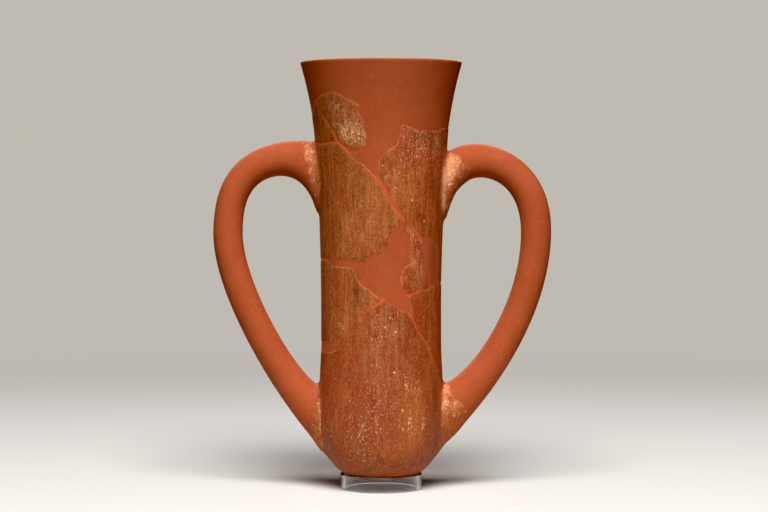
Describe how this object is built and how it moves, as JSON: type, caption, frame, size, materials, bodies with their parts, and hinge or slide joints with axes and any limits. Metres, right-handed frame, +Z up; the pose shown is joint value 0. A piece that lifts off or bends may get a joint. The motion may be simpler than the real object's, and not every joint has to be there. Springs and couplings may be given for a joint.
{
  "type": "two-handled drinking cup",
  "caption": "Tall flaring clay drinking cup with a round bottom and large heart-shaped loop handles, mended from sherds and standing upright in a clear ring.",
  "frame": {"origin": "on the floor under the axis of the cup, at the centre of the ring's underside", "axes": "+Z up along the cup's axis, +X through the right-hand handle, -Y towards the viewer of the mended front"},
  "size_m": [0.2062, 0.0986, 0.2602],
  "materials": {
    "terracotta": "matt orange-red fired clay, burnished brown on the old sherds",
    "clear_acrylic": "clear polished"
  },
  "bodies": {
    "root": {"cup": "terracotta", "stand_ring": "clear_acrylic"}
  },
  "joints": []
}
